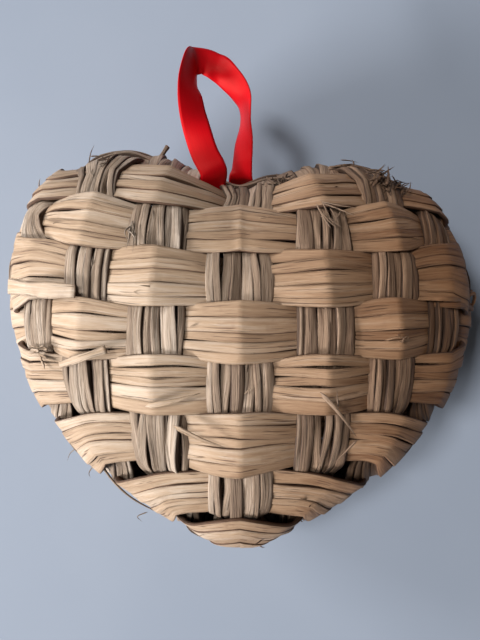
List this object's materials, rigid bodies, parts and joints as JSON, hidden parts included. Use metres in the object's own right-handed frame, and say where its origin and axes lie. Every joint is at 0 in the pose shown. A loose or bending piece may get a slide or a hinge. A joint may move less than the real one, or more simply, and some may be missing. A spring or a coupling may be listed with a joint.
{
  "type": "woven heart ornament",
  "caption": "Puffed, hollow heart woven in a plain weave from bundles of dried leaf strips, with a satin ribbon loop at its notch.",
  "frame": {"origin": "middle of the flat resting spot on the back, under the middle crossing of the weave", "axes": "+Z out of the front face, +Y towards the notch and the ribbon, +X to the right as the front is seen"},
  "size_m": [0.184, 0.1926, 0.0892],
  "materials": {
    "flat_strips": "dry and matte, faintly glossy on the outer skin",
    "twisted_strands": "dry and matte",
    "ribbon": "satin"
  },
  "bodies": {
    "root": {"weft_1": "flat_strips", "weft_2": "flat_strips", "weft_3": "flat_strips", "weft_4": "flat_strips", "weft_5": "flat_strips", "weft_6": "flat_strips", "weft_7": "flat_strips", "weft_8": "flat_strips", "warp_1": "twisted_strands", "warp_2": "twisted_strands", "warp_3": "twisted_strands", "warp_4": "twisted_strands", "warp_5": "twisted_strands", "warp_6": "twisted_strands", "warp_7": "twisted_strands", "edge_band": "twisted_strands", "ribbon_loop": "ribbon"}
  },
  "joints": []
}
